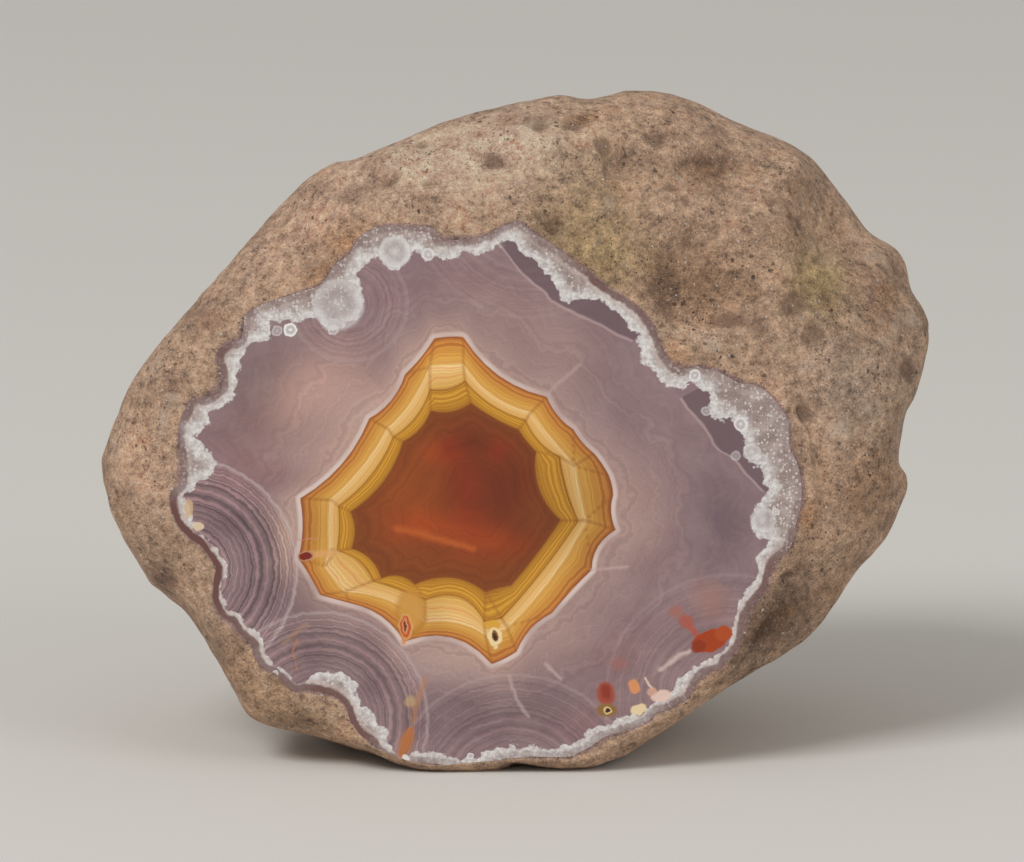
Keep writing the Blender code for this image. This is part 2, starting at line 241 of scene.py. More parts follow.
def scallops(arcs, steps=12):
    """Closed line of arcs: each a chord moved to the middle by 4 t (1 - t) times its bulge."""
    start, bulge = np.array(arcs)[:, :2], np.array(arcs)[:, 2]
    chord = np.roll(start, -1, axis=0) - start
    inward = np.stack([chord[:, 1], -chord[:, 0]], axis=1)
    inward /= np.linalg.norm(inward, axis=1, keepdims=True)
    t = (np.arange(steps) / steps)[:, None, None]
    curve = start + chord * t + inward * bulge[:, None] * 4 * t * (1 - t)
    return curve.transpose(1, 0, 2).reshape(-1, 2)


def reach(curve, angle):
    """Distance from the middle to a closed curve at each angle, straight between its points."""
    at = np.arctan2(curve[:, 1], curve[:, 0]) % (2 * np.pi)
    order = np.argsort(at)
    return np.interp(angle % (2 * np.pi), at[order], np.hypot(*curve[order].T), period=2 * np.pi)


def plain_point(angle, along):
    """Points of the body without lumps, in mm from the middle of the face: across, up and out.

    along runs from 0 at the edge of the face over 1 at the widest outline to 2 at the middle of the
    back. The slope and the back are quarters of ellipses that meet at the outline.
    """
    face_edge, outline = curve_through(FACE_EDGE), curve_through(OUTLINE)
    wide = reach(outline, angle)
    edge = np.minimum(reach(face_edge, angle), wide - 0.5)
    drop = SLOPE_DEPTH + SLOPE_DEPTH_PER_WIDTH * (wide - edge)
    turn = EDGE_SLOPE + (np.pi / 2 - EDGE_SLOPE) * np.minimum(along, 1)
    out = (np.sin(turn) - np.sin(EDGE_SLOPE)) / (1 - np.sin(EDGE_SLOPE))
    down = 1 - np.cos(turn) / np.cos(EDGE_SLOPE)
    round_back = np.pi / 2 * np.maximum(along - 1, 0)
    nearby = angle + np.linspace(-BACK_SMOOTHING, BACK_SMOOTHING, 9).reshape(-1, *[1] * angle.ndim)
    even = reach(outline, nearby).mean(axis=0)
    wide = wide + (even - wide) * np.sin(np.minimum(2 * round_back, np.pi / 2))
    wide = wide * (1 + drop / VIEW_DISTANCE)
    radius = (edge + (wide - edge) * out) * np.cos(round_back) ** BACK_FULLNESS
    height = -drop * down - (DEPTH - drop) * np.sin(round_back)
    shift = np.sin(round_back) ** 2
    return np.stack([radius * np.cos(angle) + BACK_CENTRE[0] * shift,
                     radius * np.sin(angle) + BACK_CENTRE[1] * shift, height], axis=-1)


def lump_height(point, lumps, seed):
    """Height of natural lumps at points, in mm: for each size, many waves in random directions."""
    draws = np.random.default_rng(seed)
    total = 0
    for size, high in lumps:
        waves = draws.normal(scale=1.8 / size, size=(WAVES, 3))
        phases = draws.uniform(0, 2 * np.pi, WAVES)
        total = total + high * np.sin(point @ waves.T + phases).sum(axis=-1) / (WAVES / 2) ** 0.5
    return total


def features_depth(point, features):
    """Depth of single hollows and lumps at points, in mm: ovals with a flat floor and soft sides."""
    total = 0
    for across, up, long, wide, turn, depth in features:
        cos, sin = math.cos(math.radians(turn)), math.sin(math.radians(turn))
        x, y = point[..., 0] - across, point[..., 1] - up
        away = ((x * cos + y * sin) / long) ** 2 + ((y * cos - x * sin) / wide) ** 2
        total = total + depth * np.exp(-away ** FEATURE_STEEPNESS)
    return total


def pits_depth(point, outward):
    """Depth of the scattered pits, in mm: round bowls in random directions from the middle of the body."""
    draws = np.random.default_rng(PIT_SEED)
    aims = draws.normal(size=(PITS, 3))
    aims /= np.linalg.norm(aims, axis=1, keepdims=True)
    widths, depths = draws.uniform(*PIT_HALF_WIDTH, PITS), draws.uniform(*PIT_DEPTH, PITS)
    far = np.linalg.norm(point - np.array(LUMP_MIDDLE), axis=-1)
    total = 0
    for aim, half, depth in zip(aims, widths, depths):
        away = np.arccos(np.clip(outward @ aim, -1, 1)) * far / half
        total = np.maximum(total, depth * np.exp(-away ** 3))
    return total


def rind_point(angle, along):
    """Points of the rind with lumps and hollows, in mm, and how high the fine relief stands there."""
    point = plain_point(angle, along)
    outward = point - np.array(LUMP_MIDDLE)
    outward /= np.linalg.norm(outward, axis=-1, keepdims=True)
    widest = plain_point(angle, np.ones_like(along))[..., 2]
    near_outline = np.exp(-((point[..., 2] - widest) / OUTLINE_FADE) ** 2)
    edge_distance = np.linalg.norm(point - plain_point(angle, np.zeros_like(along)), axis=-1)
    fade, fine_fade = np.minimum(edge_distance / EDGE_FADE, 1), np.minimum(edge_distance / CRUST_FADE, 1)
    fade = fade * fade * (3 - 2 * fade)
    hollows = np.where(along < 1, features_depth(point, FEATURES), 0)
    high = fade * (lump_height(point, LUMPS, LUMP_SEED) - hollows) * (1 - (1 - OUTLINE_SHARE) * near_outline)
    small = np.where(along < 1, features_depth(point, SMALL_FEATURES), 0)
    fine = lump_height(point, CRUST, CRUST_SEED) - small - pits_depth(point, outward)
    fine = fine_fade * fine * (1 - 0.5 * near_outline)
    return point + outward * (high + fine)[..., None], fine


angle = np.arange(AROUND) * 2 * np.pi / AROUND
wide = reach(curve_through(OUTLINE), angle)
edge = np.minimum(reach(curve_through(FACE_EDGE), angle), wide - 0.5)
rind_edge = np.minimum(reach(curve_through(RIND_EDGE), angle), edge - 0.15)
rim_edge = np.minimum(reach(curve_through(RIM_EDGE), angle), rind_edge - 0.3)
fronts = [np.zeros(AROUND)]
for arcs in (CORE_EDGE, CREAM_INNER, CREAM_OUTER, AMBER_EDGE):
    fronts.append(np.maximum(reach(scallops(arcs), angle), fronts[-1] + 0.2))
fronts = np.array([*fronts, rim_edge, rind_edge, edge])
inner = np.minimum(FACE_ROWS.astype(int), 6)
radius = fronts[inner] + (fronts[inner + 1] - fronts[inner]) * (FACE_ROWS - inner)[:, None]
face = np.stack([radius * np.cos(angle), radius * np.sin(angle), np.zeros_like(radius)], axis=-1)

along = np.concatenate([np.linspace(0, 1, SLOPE_ROWS + 1)[1:], np.linspace(1, 2, BACK_ROWS + 1)[1:-1]])
columns, rows = np.meshgrid(angle, along)
rind, fine = rind_point(columns, rows)
back_pole, _ = rind_point(np.zeros(1), np.full(1, 2.0))
points = np.concatenate([np.zeros((1, 3)), face.reshape(-1, 3), rind.reshape(-1, 3), back_pole])
relief = np.concatenate([np.zeros(1 + face.size // 3), fine.reshape(-1), np.zeros(1)])
zone = np.concatenate([np.zeros(1), np.repeat(FACE_ROWS, AROUND), np.full(rind.size // 3 + 1, 8.0)])

# Quads between neighbouring rows, and a fan of triangles at the middle of the face and of the back
row_count = len(FACE_ROWS) + len(along)
near = 1 + np.arange(row_count - 1)[:, None] * AROUND + np.arange(AROUND)
beside = np.roll(near, -1, axis=1)
quads = np.stack([near, near + AROUND, beside + AROUND, beside], axis=-1).reshape(-1, 4)
first, last = 1 + np.arange(AROUND), 1 + (row_count - 1) * AROUND + np.arange(AROUND)
front_fan = np.stack([np.zeros(AROUND, int), first, np.roll(first, -1)], axis=1)
back_fan = np.stack([last, np.full(AROUND, len(points) - 1), np.roll(last, -1)], axis=1)
pose = (Matrix.Scale(MM, 4) @ Matrix.Translation(FACE_MIDDLE)
        @ Matrix.Rotation(math.pi / 2 - FACE_LEAN, 4, "X"))
placed = points @ np.array(pose)[:3, :3].T + np.array(pose)[:3, 3]
placed[:, 2] = np.maximum(placed[:, 2], 0)
mesh = bpy.data.meshes.new("agate nodule")
mesh.from_pydata(placed.tolist(), [], front_fan.tolist() + quads.tolist() + back_fan.tolist())
nodule = bpy.data.objects.new("agate_nodule_stone", mesh)
bpy.context.scene.collection.objects.link(nodule)
polished_faces = AROUND + AROUND * RIM_ROW
rough = np.arange(len(mesh.polygons)) >= polished_faces
mesh.polygons.foreach_set("material_index", rough.astype(int))
mesh.polygons.foreach_set("use_smooth", rough)
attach(nodule, "root")
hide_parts("agate_nodule")

# The polished face: chalcedony that grew inwards from the wall of the hole, layer on layer. A rim of
# white crystal beads comes first, then mauve chalcedony, then amber and cream bands round a red core.
# It is ground flat and polished to a gloss, so the layers are colour alone.
HUES = {
    "mauve": "8b7274", "dusk": "6f595b", "wine": "876163", "rose": "9f817c", "peach": "c09a8d",
    "pale": "cca998", "milk": "b09690", "blue grey": "74636c", "slate": "6a5559", "clay": "b4998a",
    "brown": "82421a", "olive brown": "8c4f1c", "red brown": "7c3113", "maroon": "6c2a0f", "ember": "b0481a",
    "rust": "a04f1c", "coal red": "8f2d12",
}

# Soft stains of the chalcedony: across, up, half length, half width in mm, turn in degrees, hue, strength
STAINS = [
    (-26.0, 13.5, 3.4, 6.0, 0, "dusk", 0.95), (-29.5, 8.8, 3.6, 2.6, 0, "wine", 0.5),
    (-29.0, 9.5, 2.8, 3.0, 0, "dusk", 0.6), (-27.0, 4.0, 6.0, 3.6, 0, "wine", 0.75),
    (-19.5, 12.8, 6.5, 4.6, 35, "peach", 0.95), (-21.0, 7.2, 4.6, 2.6, 30, "rose", 0.8),
    (-9.6, 24.2, 7.5, 3.4, 0, "mauve", 0.9), (-11.0, 24.5, 5.0, 2.0, 0, "wine", 0.25),
    (-3.0, 26.0, 5.5, 2.6, 0, "wine", 0.22), (2.5, 22.5, 6.0, 3.6, -30, "rose", 0.6),
    (9.8, 18.4, 6.5, 4.0, -40, "rose", 0.8), (16.8, 14.6, 5.4, 3.6, -40, "mauve", 0.7),
    (24.0, 6.5, 7.0, 5.0, -40, "mauve", 0.7), (19.4, -2.2, 4.6, 5.4, 0, "rose", 0.75),
    (29.0, -2.6, 4.0, 6.6, 0, "slate", 0.65), (29.0, -2.6, 3.4, 6.0, 0, "blue grey", 0.45),
    (22.0, -12.0, 6.0, 4.4, 40, "mauve", 0.6), (17.0, -18.0, 5.0, 3.4, 30, "wine", 0.45),
    (10.0, -17.0, 3.6, 2.8, 40, "rose", 0.7), (3.5, -25.6, 8.0, 3.2, 0, "dusk", 0.85),
    (-3.5, -26.0, 6.0, 2.8, 0, "slate", 0.5), (-4.5, -19.4, 6.4, 2.4, -5, "milk", 0.9),
    (-18.5, -17.5, 5.6, 3.6, -35, "dusk", 0.75), (-13.0, -20.5, 2.6, 3.4, 0, "dusk", 0.7),
    (-25.0, -10.5, 6.0, 4.4, -50, "slate", 0.75), (-28.0, -3.4, 5.6, 2.4, -15, "slate", 0.95),
    (-22.9, -3.6, 1.5, 3.6, -10, "clay", 0.85), (13.0, -26.5, 4.0, 2.0, 15, "wine", 0.5),
]

# Stains of the red core, painted as those above
CORE_STAINS = [
    (-0.5, 1.0, 15.0, 12.0, 0, "olive brown", 0.6), (-1.0, 0.5, 11.0, 8.6, 0, "red brown", 0.9),
    (-1.2, 7.0, 3.2, 2.2, 0, "maroon", 0.8), (3.4, 1.0, 3.8, 5.4, 0, "maroon", 0.75),
    (6.2, -2.2, 2.2, 3.4, 0, "brown", 0.5), (4.6, -5.0, 3.0, 1.8, 0, "maroon", 0.6),
    (-9.0, -0.5, 2.6, 5.4, 20, "rust", 0.65), (-6.4, 2.0, 2.2, 4.6, 10, "rust", 0.5),
    (-3.0, -3.6, 7.0, 1.8, -12, "ember", 0.75), (-1.6, 1.4, 1.6, 5.6, 8, "coal red", 0.5),
    (-5.2, 5.6, 1.8, 1.5, 0, "ember", 0.6), (-3.6, 6.2, 1.2, 1.3, 0, "coal red", 0.8),
    (2.2, 6.0, 1.3, 1.1, 0, "coal red", 0.8), (-9.6, -4.0, 1.8, 1.3, -20, "ember", 0.5),
    (-6.8, -3.0, 1.4, 1.4, 0, "ember", 0.6), (0.6, -6.0, 4.4, 1.3, 10, "ember", 0.35),
]

# The amber and cream bands are darker or lighter in places: as above, with a change of brightness
SHADES = [
    (15.0, -1.0, 6.0, 9.0, 0, -0.24), (11.0, 2.0, 4.0, 7.0, 0, -0.12), (-4.0, 17.6, 3.4, 2.4, 0, 0.10),
    (-20.0, -3.4, 3.0, 4.6, 0, -0.16), (8.0, -13.0, 5.0, 3.0, 40, 0.04), (-16.6, -10.0, 4.0, 1.6, -20, -0.04),
    (-5.5, -14.0, 1.8, 2.2, 0, -0.18), (14.0, -7.6, 3.2, 3.4, 0, -0.08), (-3.6, -12.8, 4.4, 1.8, 0, 0.07),
]

# The old crack along the rim at the top right, and the reddish skin between rim and rind:
# angle in degrees from the right, counted to the left, with the distance or the strength there
CRACK = [
    ((2.6, 30.5), (3.6, 29.3), (4.3, 28.2), (5.0, 27.4), (6.2, 26.3), (7.8, 25.1), (8.6, 24.0), (10.2, 23.2),
     (12.0, 22.3), (14.4, 21.2), (16.8, 19.9), (18.6, 19.0)),
    ((24.1, 12.5), (25.0, 11.2), (26.4, 9.6), (27.4, 8.2), (28.2, 6.7), (29.0, 5.9), (30.4, 5.2), (31.2, 4.4),
     (32.0, 3.2), (33.2, 2.0), (34.2, 1.0)),
]
SKIN = [
    (0, 0.1), (20, 0.1), (28, 0.25), (38, 0.6), (62, 0.9), (75, 0.3), (85, 0.5), (97, 0.5), (110, 0.2),
    (140, 0.2), (150, 0.8), (163, 0.6), (176, 0.5), (181, 1.0), (200, 1.0), (215, 0.8), (228, 0.9),
    (243, 0.9), (260, 0.4), (280, 0.3), (300, 0.4), (325, 0.8), (345, 0.9), (355, 0.3),
]


def paint(code):
    """Linear red, green and blue of a colour given as six hexadecimal digits."""
    share = np.array([int(code[i:i + 2], 16) for i in (0, 2, 4)]) / 255
    return np.where(share <= 0.04045, share / 12.92, ((share + 0.055) / 1.055) ** 2.4)


def oval(place, across, up, long, wide, turn):
    """How much a soft oval covers points: exp(-d^2), with d the distance in half lengths."""
    cos, sin = math.cos(math.radians(turn)), math.sin(math.radians(turn))
    x, y = place[..., 0] - across, place[..., 1] - up
    away = ((x * cos + y * sin) / long) ** 2 + ((y * cos - x * sin) / wide) ** 2
    return np.exp(-away)


def stained_and_shaded(place, colour, stains_and_shading, hues):
    """The colour at points after each oval in turn is mixed over it: stains, and on the rind also painted
    light and shade.
    """
    for across, up, long, wide, turn, hue, strength in stains_and_shading:
        cover = strength * oval(place, across, up, long, wide, turn)
        colour = colour + (paint(hues[hue]) - colour) * cover[..., None]
    return colour


def line_distance(place, line):
    """Distance from points to a line of straight pieces, in mm."""
    nearest = np.full(place.shape[:-1], 99.0)
    for start, end in zip(line[:-1], line[1:]):
        step = end - start
        share = np.clip(((place[..., :2] - start) @ step) / (step @ step), 0, 1)
        away = np.linalg.norm(place[..., :2] - start - share[..., None] * step, axis=-1)
        nearest = np.minimum(nearest, away)
    return nearest


def outline_distance(curve):
    """Distance from every point of the face to a closed outline, in mm."""
    return line_distance(flat, np.concatenate([curve, curve[:1]]))


def keep(name, kind, values):
    """Stores one value for each point of the nodule, for the materials to read."""
    made = mesh.attributes.new(name, kind, "POINT")
    made.data.foreach_set("color" if kind == "FLOAT_COLOR" else "value", values.astype(np.float32).ravel())


def on_all(values, beyond=0.0):
    """Values of the rows of the face, with one value for the middle and one for the rest of the body."""
    return np.concatenate([values[:1, :1].ravel(), values.ravel(), np.full(len(rind) * AROUND + 1, beyond)])


flat = face[..., :2]
turned = np.degrees(angle) % 360
crack = np.full(AROUND, 99.0)
for line in CRACK:
    ends = [math.degrees(math.atan2(up, across)) for across, up in (line[0], line[-1])]
    inside = (turned < ends[0]) & (turned > ends[1])
    crack[inside] = reach(np.array(line), angle[inside])
crack_mm = np.clip(radius - crack, -9, 9)
rim_mm = outline_distance(curve_through(RIM_EDGE, 3)) * np.where(radius > rim_edge, -1, 1)
rind_mm = outline_distance(curve_through(RIND_EDGE, 3)) * np.where(radius > rind_edge, -1, 1)
skin = np.interp(turned, *np.array(SKIN).T, period=360) + 0 * radius
septum_mm = np.full(radius.shape, 99.0)
nested_outlines = ((CREAM_INNER, CORE_EDGE), (CREAM_OUTER, CREAM_INNER), (AMBER_EDGE, CREAM_OUTER))
for outer_arcs, inner_arcs in nested_outlines:
    for cusp in np.array(outer_arcs)[:, :2]:
        others = np.array(inner_arcs)[:, :2]
        other = others[np.linalg.norm(others - cusp, axis=1).argmin()]
        septum_mm = np.minimum(septum_mm, line_distance(flat, np.array([cusp, other])))
shade = np.ones(radius.shape)
for *spot, change in SHADES:
    shade = shade * (1 + change * oval(flat, *spot))

beyond_amber = np.exp(-((FACE_ROWS[:, None] - 4) / 0.26) ** 2) * (FACE_ROWS[:, None] >= 4)
chalcedony = stained_and_shaded(flat, paint(HUES["mauve"]), STAINS, HUES)
pale_places = 0.45 + 0.55 * oval(flat, -14, 12, 16, 10, 40) + 0.2 * oval(flat, 2, -20, 8, 6, 0)
near_amber = 0.75 * beyond_amber * pale_places
chalcedony = chalcedony + (paint(HUES["pale"]) - chalcedony) * near_amber[..., None]
core_paint = stained_and_shaded(flat, paint(HUES["brown"]), CORE_STAINS, HUES)
face_paint = np.where(FACE_ROWS[:, None, None] < 2.5, core_paint, chalcedony)
keep("zone", "FLOAT", zone)
keep("relief", "FLOAT", relief)
keep("rim_mm", "FLOAT", on_all(rim_mm, -9))
keep("rind_mm", "FLOAT", on_all(rind_mm, -9))
keep("crack_mm", "FLOAT", on_all(crack_mm, 9))
keep("skin", "FLOAT", on_all(skin))
keep("shade", "FLOAT", on_all(shade, 1))
keep("septum_mm", "FLOAT", on_all(septum_mm, 9))
amber_mm = outline_distance(scallops(AMBER_EDGE, 6))
keep("amber_mm", "FLOAT", on_all(amber_mm * np.where(FACE_ROWS[:, None] > 4, -1, 1), -9))


class Net:
    """The nodes of one material or group, with a short way to add and link them."""

    def __init__(self, tree):
        self.tree = tree

    def add(self, kind, inputs, output=0, **settings):
        """Adds a node, sets or links its inputs by name or number, and gives one of its outputs."""
        node = self.tree.nodes.new("ShaderNode" + kind)
        for name, value in settings.items():
            setattr(node, name, value)
        self.fill(node, inputs)
        return node.outputs[output]

    def fill(self, node, inputs):
        """Sets or links inputs of a node by name or number."""
        for key, value in inputs.items():
            if isinstance(value, bpy.types.NodeSocket):
                self.tree.links.new(value, node.inputs[key])
            else:
                node.inputs[key].default_value = value

    def stored(self, name, output="Fac"):
        """A value that the mesh holds."""
        return self.add("Attribute", {}, output, attribute_name=name)

    def sum(self, operation, *values):
        """Arithmetic on numbers."""
        return self.add("Math", dict(enumerate(values)), operation=operation)

    def arrow(self, operation, *values, output=0):
        """Arithmetic on vectors."""
        return self.add("VectorMath", dict(enumerate(values)), output, operation=operation)

    def scaled(self, vector, share):
        """A vector made longer or shorter."""
        return self.add("VectorMath", {0: vector, "Scale": share}, operation="SCALE")

    def face_place(self):
        """Place across, up and out from the middle of the polished face, in mm."""
        return self.add("Mapping", {"Vector": self.add("TexCoord", {}, "Object"), "Location": FACE_MIDDLE * MM,
                                    "Rotation": (math.pi / 2 - FACE_LEAN, 0, 0), "Scale": (MM, MM, MM)},
                        vector_type="TEXTURE")

    def ease(self, value, start, end, low=0.0, high=1.0):
        """Goes smoothly from low to high as the value goes from start to end."""
        return self.add("MapRange", {0: value, 1: start, 2: end, 3: low, 4: high},
                        interpolation_type="SMOOTHSTEP")

    def mix(self, share, under, over, blend="MIX"):
        """One colour laid over another."""
        colours = {6: under, 7: over}
        for key, value in colours.items():
            if isinstance(value, str):
                colours[key] = (*paint(value), 1)
        return self.add("Mix", {0: share, **colours}, 2, data_type="RGBA", blend_type=blend)

    def clouds(self, place, scale, detail=2.0, rough=0.5, output=0):
        """Soft noise between 0 and 1, scale waves to the millimetre."""
        return self.add("TexNoise", {"Vector": place, "Scale": scale, "Detail": detail, "Roughness": rough},
                        output)

    def layers(self, value, scale, detail=2.0, rough=0.6):
        """Noise along a number alone, for thin parallel layers."""
        return self.add("TexNoise", {"W": value, "Scale": scale, "Detail": detail, "Roughness": rough},
                        noise_dimensions="1D")

    def grains(self, place, scale, output="Distance", **settings):
        """Distance to the middle of the nearest of many random grains, or a random colour for each."""
        return self.add("TexVoronoi", {"Vector": place, "Scale": scale}, output, **settings)

    def chance(self, place, scale, channel=0):
        """A random number for each grain of that scale."""
        return self.add("SeparateColor", {0: self.grains(place, scale, "Color")}, channel)

    def ramp(self, value, stops):
        """Colour by a number, through stops of number and colour code."""
        node = self.tree.nodes.new("ShaderNodeValToRGB")
        elements = node.color_ramp.elements
        for number, (position, code) in enumerate(stops):
            element = elements[number] if number < 2 else elements.new(position)
            element.position, element.color = position, (*paint(code), 1)
        self.tree.links.new(value, node.inputs[0])
        return node.outputs[0]


def group(name, inputs, outputs):
    """A new node group: its net, its inputs by name, and its output node."""
    tree = bpy.data.node_groups.new(name, "ShaderNodeTree")
    for label, kind in inputs.items():
        tree.interface.new_socket(label, in_out="INPUT", socket_type="NodeSocket" + kind)
    for label, kind in outputs.items():
        tree.interface.new_socket(label, in_out="OUTPUT", socket_type="NodeSocket" + kind)
    given = tree.nodes.new("NodeGroupInput").outputs
    return Net(tree), given, tree.nodes.new("NodeGroupOutput").inputs


def material(name):
    """A new material, its net and its shader."""
    made = bpy.data.materials.new(name)
    made.use_nodes = True
    return made, Net(made.node_tree), made.node_tree.nodes["Principled BSDF"]


# A soft oval spot, with its place and half size in mm
spot_net, given, result = group(
    "soft spot",
    {"Place": "Vector", "Middle": "Vector", "Half Size": "Vector", "Turn": "Float", "Edge": "Float"},
    {"Mask": "Float"})
away = spot_net.arrow("SUBTRACT", given["Place"], given["Middle"])
away = spot_net.add("VectorRotate", {"Vector": away, "Angle": given["Turn"]},
                    rotation_type="Z_AXIS", invert=True)
away = spot_net.arrow("DIVIDE", away, given["Half Size"])
away = spot_net.arrow("LENGTH", away, output=1)
inner_edge = spot_net.sum("SUBTRACT", 1.0, given["Edge"])
outer_edge = spot_net.sum("ADD", 1.0, given["Edge"])
spot_net.tree.links.new(spot_net.ease(away, outer_edge, inner_edge), result["Mask"])

# A straight stroke with round ends, in mm
stroke_net, given, result = group(
    "stroke", {"Place": "Vector", "Start": "Vector", "End": "Vector", "Half Width": "Float", "Edge": "Float"},
    {"Mask": "Float"})
away = stroke_net.arrow("SUBTRACT", given["Place"], given["Start"])
step = stroke_net.arrow("SUBTRACT", given["End"], given["Start"])
share = stroke_net.add("Math", {0: stroke_net.arrow("DOT_PRODUCT", away, step, output=1),
                                1: stroke_net.arrow("DOT_PRODUCT", step, step, output=1)},
                       operation="DIVIDE", use_clamp=True)
nearest = stroke_net.scaled(step, share)
away = stroke_net.arrow("DISTANCE", away, nearest, output=1)
stroke_net.tree.links.new(
    stroke_net.ease(away, stroke_net.sum("ADD", given["Half Width"], given["Edge"]),
                    stroke_net.sum("SUBTRACT", given["Half Width"], given["Edge"])), result["Mask"])

# A crystal bead cut through: a bright middle, a greyer ring and a bright outer ring
bead_net, given, result = group(
    "bead", {"Place": "Vector", "Middle": "Vector", "Radius": "Float"}, {"Mask": "Float", "Light": "Float"})
away = bead_net.arrow("DISTANCE", given["Place"], given["Middle"], output=1)
away = bead_net.sum("DIVIDE", away, given["Radius"])
mask = bead_net.ease(away, 1.15, 0.95)
light = bead_net.sum("MULTIPLY_ADD", bead_net.sum("COSINE", bead_net.sum("MULTIPLY", away, 6.6)), 0.4, 0.6)
bead_net.tree.links.new(mask, result["Mask"])
bead_net.tree.links.new(bead_net.sum("MULTIPLY", light, mask), result["Light"])

# Spots that the photo shows one by one, painted in this order: across, up, half length, half width in mm,
# turn in degrees, softness of the edge, colour, strength
SPOTS = [
    (-20.9, -6.7, 1.0, 0.6, 10, 0.2, "c08a6c", 0.8), (-20.9, -6.7, 0.82, 0.42, 10, 0.15, "7a2216", 1.0),
    (-8.3, -13.6, 1.9, 2.9, 0, 0.25, "bd7f30", 0.75), (-8.3, -13.2, 1.4, 2.2, 0, 0.3, "d29a48", 0.7),
    (-8.9, -15.2, 0.85, 1.55, 4, 0.12, "d9a568", 0.9), (-8.95, -15.2, 0.66, 1.3, 4, 0.12, "c8541c", 1.0),
    (-9.0, -15.1, 0.3, 0.9, 4, 0.3, "e8b489", 0.7), (-9.0, -15.1, 0.16, 0.7, 4, 0.3, "5a1c10", 0.9),
    (1.5, -15.0, 0.9, 0.6, 0, 0.15, "dba233", 0.9), (1.8, -16.4, 0.85, 1.15, 0, 0.1, "f0d6a2", 1.0),
    (1.8, -16.3, 0.42, 0.7, 10, 0.15, "8a5a2c", 1.0), (1.8, -16.4, 0.24, 0.45, 10, 0.3, "42220f", 1.0),
    (15.1, -23.2, 1.15, 1.4, 5, 0.2, "a24a34", 0.95), (15.1, -23.0, 0.6, 0.9, 5, 0.5, "8a2c1c", 0.8),
    (15.2, -25.2, 1.2, 0.8, 0, 0.15, "8f6a34", 0.95), (15.3, -25.3, 0.5, 0.45, 0, 0.15, "e0c48c", 0.9),
    (15.3, -25.3, 0.28, 0.25, 0, 0.2, "3c2414", 1.0), (18.5, -22.4, 0.7, 0.9, 10, 0.15, "dc935f", 0.95),
    (21.7, -23.5, 1.2, 0.7, 15, 0.15, "e6c6b8", 0.95), (20.6, -23.0, 0.6, 0.5, 0, 0.2, "d8a890", 0.8),
    (19.0, -25.1, 1.0, 0.65, 15, 0.15, "ecd2a6", 0.95), (27.6, -12.0, 1.9, 2.2, 30, 0.7, "a87a6e", 0.5),
    (16.6, -19.6, 0.9, 0.7, 0, 0.6, "a3685e", 0.6), (23.5, -13.4, 0.8, 0.7, 0, 0.5, "a8685a", 0.7),
    (24.7, -14.5, 0.9, 0.8, -20, 0.3, "ac5745", 0.85), (27.6, -16.9, 2.2, 1.3, 18, 0.1, "a53e14", 1.0),
    (29.2, -16.0, 1.0, 0.95, 30, 0.12, "b04a1c", 1.0), (26.2, -17.6, 0.9, 0.8, 0, 0.2, "8c3212", 0.9),
    (-35.0, -1.0, 0.55, 1.1, 0, 0.2, "cfae88", 0.8), (-33.8, -3.2, 0.7, 0.5, -20, 0.15, "e0c8a8", 0.9),
    (-8.4, -24.2, 0.7, 0.7, 0, 0.4, "c9a878", 0.6), (-8.9, -29.2, 0.8, 1.9, -20, 0.3, "b5703c", 0.8),
    (-8.9, -31.0, 0.5, 0.4, 0, 0.2, "e8e0da", 0.9),
]

# Lines drawn the same way: points across and up, half width and softness in mm, colour, strength
STROKES = [
    ([(-20.2, -6.6), (-17.4, -6.3)], 0.4, 0.25, "dca468", 0.8),
    ([(-22.3, -4.7), (-19.4, -4.7)], 0.08, 0.06, "c88a78", 0.7),
    ([(-9.1, -16.2), (-9.1, -17.1)], 0.3, 0.2, "d88a50", 0.8),
    ([(1.8, -17.2), (1.9, -17.7)], 0.25, 0.15, "f0d6a2", 0.9),
    ([(-1.2, -23.0), (2.4, -22.3), (3.8, -22.4)], 0.12, 0.12, "a48e8c", 0.55),
    ([(0.0, -25.0), (3.8, -24.5)], 0.12, 0.12, "a08a8a", 0.45),
    ([(-1.2, -27.4), (2.4, -26.5)], 0.12, 0.12, "a08a8a", 0.45),
    ([(21.6, -20.3), (24.0, -18.6), (25.2, -18.1)], 0.25, 0.25, "d8c0b8", 0.75),
    ([(7.9, -19.7), (9.6, -21.4)], 0.2, 0.2, "c8b0aa", 0.6),
    ([(3.5, -21.1), (4.4, -24.0), (5.8, -26.0)], 0.2, 0.2, "c0a8a4", 0.6),
    ([(8.0, 12.7), (11.9, 16.2)], 0.2, 0.2, "c4a8a0", 0.45),
    ([(13.4, -8.4), (17.6, -8.0)], 0.2, 0.2, "c4a8a0", 0.6),
    ([(-22.0, -16.8), (-22.4, -18.0), (-22.0, -20.4)], 0.08, 0.08, "c07a40", 0.8),
    ([(-23.6, -17.2), (-20.9, -15.0)], 0.25, 0.3, "b08a70", 0.5),
    ([(-8.0, -26.6), (-7.7, -24.6), (-7.0, -22.8), (-6.6, -21.6)], 0.3, 0.35, "b88058", 0.6),
    ([(-9.5, -30.6), (-8.3, -27.6)], 0.25, 0.2, "c06a28", 0.9),
    ([(-10.0, -3.4), (-6.5, -4.2), (-0.8, -5.9)], 0.3, 0.5, "c8642a", 0.7),
    ([(19.8, -21.4), (20.6, -22.6)], 0.15, 0.1, "e8c6b8", 0.9),
    ([(27.2, -17.5), (28.3, -16.9)], 0.16, 0.1, "ecb888", 0.95),
    ([(25.2, -15.1), (26.0, -16.2)], 0.35, 0.25, "b4503c", 0.85),
]

